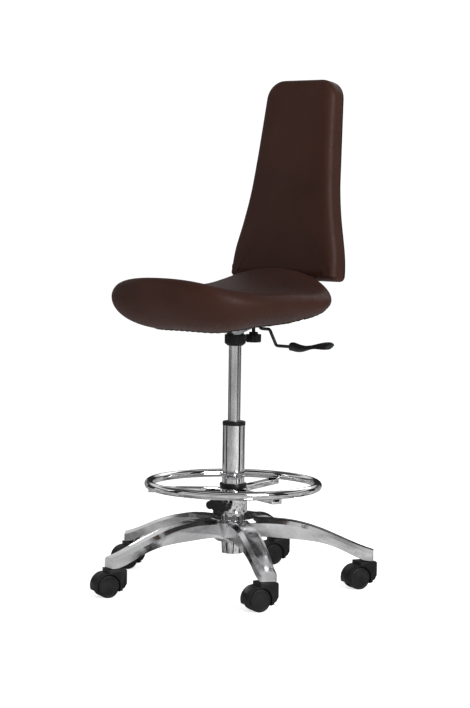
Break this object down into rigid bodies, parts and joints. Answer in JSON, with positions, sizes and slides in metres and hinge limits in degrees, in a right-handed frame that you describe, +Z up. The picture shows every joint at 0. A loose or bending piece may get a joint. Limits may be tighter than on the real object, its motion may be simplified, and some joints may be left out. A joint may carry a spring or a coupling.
{
  "type": "drafting chair",
  "caption": "Tall swivel work chair: five-arm star base on twin-wheel casters, gas lift, sliding foot ring, saddle-shaped leather seat and a tall tapered backrest.",
  "frame": {"origin": "on the floor, on the axis of the column", "axes": "+Z up; the sitter faces -Y, with the left hand towards +X"},
  "size_m": [0.6032, 0.6429, 1.1278],
  "materials": {
    "polished_aluminium": "polished casting",
    "chrome": "bright chrome plate",
    "satin_chrome": "ground hard chrome",
    "bright_steel": "zinc plated",
    "black_steel": "black powder coat",
    "black_nylon": "moulded, fine grain",
    "black_gloss": "moulded",
    "wheel_tread": "soft tread",
    "leather": "brown, fine grain",
    "plywood": "birch plywood",
    "liner": "black nonwoven",
    "brass": "turned"
  },
  "bodies": {
    "base": {"base_star": "polished_aluminium", "caster_stems": "bright_steel", "column_tube": "chrome", "column_floor": "bright_steel", "thrust_washer": "bright_steel", "guide_bush": "black_nylon"},
    "rod": {"piston_rod": "satin_chrome", "rod_clip": "bright_steel", "bearing_balls": "bright_steel"},
    "seat": {"gas_cylinder": "satin_chrome", "cylinder_guide": "black_nylon", "taper_socket": "black_steel", "socket_shroud": "black_nylon", "seat_plate": "bright_steel", "lever_ears": "bright_steel", "lever_pin": "bright_steel", "seat_bolts": "bright_steel", "bar_channel": "black_steel", "seat_shell": "plywood", "seat_cushion": "leather", "seat_liner": "liner"},
    "release_pin": {"release_pin": "bright_steel"},
    "lever": {"lever_rod": "black_steel", "lever_handle": "black_gloss"},
    "bar_knob": {"bar_knob": "black_nylon"},
    "back_bar": {"back_bar": "black_steel"},
    "backrest": {"back_pad": "leather", "back_board": "plywood", "back_cover": "black_nylon", "back_bracket": "black_steel", "back_bolts": "bright_steel"},
    "back_knob": {"back_knob": "black_nylon"},
    "ring_liner": {"ring_liner": "black_nylon"},
    "foot_ring": {"foot_ring": "chrome", "ring_spokes": "chrome", "ring_collar": "chrome", "clamp_boss": "chrome"},
    "clamp_pad": {"clamp_pad": "brass"},
    "clamp_knob": {"clamp_screw": "bright_steel", "clamp_knob": "black_nylon"},
    "caster_1": {"caster_hood_1": "black_nylon", "caster_axle_1": "bright_steel"},
    "wheel_left_1": {"caster_wheel_left_1": "wheel_tread"},
    "wheel_right_1": {"caster_wheel_right_1": "wheel_tread"},
    "caster_2": {"caster_hood_2": "black_nylon", "caster_axle_2": "bright_steel"},
    "wheel_left_2": {"caster_wheel_left_2": "wheel_tread"},
    "wheel_right_2": {"caster_wheel_right_2": "wheel_tread"},
    "caster_3": {"caster_hood_3": "black_nylon", "caster_axle_3": "bright_steel"},
    "wheel_left_3": {"caster_wheel_left_3": "wheel_tread"},
    "wheel_right_3": {"caster_wheel_right_3": "wheel_tread"},
    "caster_4": {"caster_hood_4": "black_nylon", "caster_axle_4": "bright_steel"},
    "wheel_left_4": {"caster_wheel_left_4": "wheel_tread"},
    "wheel_right_4": {"caster_wheel_right_4": "wheel_tread"},
    "caster_5": {"caster_hood_5": "black_nylon", "caster_axle_5": "bright_steel"},
    "wheel_left_5": {"caster_wheel_left_5": "wheel_tread"},
    "wheel_right_5": {"caster_wheel_right_5": "wheel_tread"}
  },
  "joints": [
    {"name": "caster_swivel_1", "type": "hinge", "parent": "base", "child": "caster_1", "pos_m": [0.24306, -0.16893, 0.05], "axis": [0, 0, 1], "continuous": true},
    {"name": "wheel_left_1_spin", "type": "hinge", "parent": "caster_1", "child": "wheel_left_1", "pos_m": [0.23446, -0.18918, 0.025], "axis": [0.9205, -0.3907, 0], "continuous": true},
    {"name": "wheel_right_1_spin", "type": "hinge", "parent": "caster_1", "child": "wheel_right_1", "pos_m": [0.23446, -0.18918, 0.025], "axis": [0.9205, -0.3907, 0], "continuous": true},
    {"name": "caster_swivel_2", "type": "hinge", "parent": "base", "child": "caster_2", "pos_m": [0.23577, 0.17896, 0.05], "axis": [0, 0, 1], "continuous": true},
    {"name": "wheel_left_2_spin", "type": "hinge", "parent": "caster_2", "child": "wheel_left_2", "pos_m": [0.22718, 0.15871, 0.025], "axis": [0.9205, -0.3907, 0], "continuous": true},
    {"name": "wheel_right_2_spin", "type": "hinge", "parent": "caster_2", "child": "wheel_right_2", "pos_m": [0.22718, 0.15871, 0.025], "axis": [0.9205, -0.3907, 0], "continuous": true},
    {"name": "caster_swivel_3", "type": "hinge", "parent": "base", "child": "caster_3", "pos_m": [-0.09735, 0.27953, 0.05], "axis": [0, 0, 1], "continuous": true},
    {"name": "wheel_left_3_spin", "type": "hinge", "parent": "caster_3", "child": "wheel_left_3", "pos_m": [-0.10594, 0.25928, 0.025], "axis": [0.9205, -0.3907, 0], "continuous": true},
    {"name": "wheel_right_3_spin", "type": "hinge", "parent": "caster_3", "child": "wheel_right_3", "pos_m": [-0.10594, 0.25928, 0.025], "axis": [0.9205, -0.3907, 0], "continuous": true},
    {"name": "caster_swivel_4", "type": "hinge", "parent": "base", "child": "caster_4", "pos_m": [-0.29594, -0.0062, 0.05], "axis": [0, 0, 1], "continuous": true},
    {"name": "wheel_left_4_spin", "type": "hinge", "parent": "caster_4", "child": "wheel_left_4", "pos_m": [-0.30453, -0.02645, 0.025], "axis": [0.9205, -0.3907, 0], "continuous": true},
    {"name": "wheel_right_4_spin", "type": "hinge", "parent": "caster_4", "child": "wheel_right_4", "pos_m": [-0.30453, -0.02645, 0.025], "axis": [0.9205, -0.3907, 0], "continuous": true},
    {"name": "caster_swivel_5", "type": "hinge", "parent": "base", "child": "caster_5", "pos_m": [-0.08555, -0.28337, 0.05], "axis": [0, 0, 1], "continuous": true},
    {"name": "wheel_left_5_spin", "type": "hinge", "parent": "caster_5", "child": "wheel_left_5", "pos_m": [-0.09415, -0.30362, 0.025], "axis": [0.9205, -0.3907, 0], "continuous": true},
    {"name": "wheel_right_5_spin", "type": "hinge", "parent": "caster_5", "child": "wheel_right_5", "pos_m": [-0.09415, -0.30362, 0.025], "axis": [0.9205, -0.3907, 0], "continuous": true},
    {"name": "seat_swivel", "type": "hinge", "parent": "base", "child": "rod", "pos_m": [0, 0, 0.08], "axis": [0, 0, 1], "continuous": true},
    {"name": "gas_lift", "type": "slide", "parent": "rod", "child": "seat", "axis": [0, 0, 1], "range_m": [-0.15, 0.05]},
    {"name": "lever_turn", "type": "hinge", "parent": "seat", "child": "lever", "pos_m": [0.038, 0.008, 0.588], "axis": [0, -1, 0], "range_deg": [0, 4], "stiffness_Nm_per_rad": 6, "springref_deg": -6.88},
    {"name": "release_pin_press", "type": "slide", "parent": "seat", "child": "release_pin", "axis": [0, 0, 1], "range_m": [-0.0026, 0], "stiffness_N_per_m": 400, "springref_m": 0.001},
    {"name": "bar_knob_turn", "type": "hinge", "parent": "seat", "child": "bar_knob", "pos_m": [0, 0.062, 0.548], "axis": [0, 0, 1], "range_deg": [0, 360]},
    {"name": "back_depth", "type": "slide", "parent": "seat", "child": "back_bar", "axis": [0, 1, 0], "range_m": [0, 0.022]},
    {"name": "back_height", "type": "slide", "parent": "back_bar", "child": "backrest", "axis": [0, 0.1357, 0.9907], "range_m": [0, 0.07]},
    {"name": "back_knob_turn", "type": "hinge", "parent": "backrest", "child": "back_knob", "pos_m": [0, 0.23937, 0.77218], "axis": [0, 0.9907, -0.1357], "range_deg": [0, 360]},
    {"name": "ring_height", "type": "slide", "parent": "base", "child": "ring_liner", "axis": [0, 0, 1], "range_m": [-0.01, 0.12]},
    {"name": "ring_turn", "type": "hinge", "parent": "ring_liner", "child": "foot_ring", "pos_m": [0, 0, 0.19], "axis": [0, 0, 1], "continuous": true},
    {"name": "clamp_slide", "type": "slide", "parent": "foot_ring", "child": "clamp_pad", "axis": [0.1908, -0.9816, 0], "range_m": [0, 0.00251]},
    {"name": "clamp_turn", "type": "hinge", "parent": "clamp_pad", "child": "clamp_knob", "pos_m": [0.01145, -0.0589, 0.19], "axis": [0.1908, -0.9816, 0], "range_deg": [0, 720]}
  ],
  "couplings": [
    {"joint": "release_pin_press", "follows": "lever_turn", "m_per_rad": -0.036},
    {"joint": "clamp_slide", "follows": "clamp_turn", "m_per_rad": 0.00019894}
  ]
}
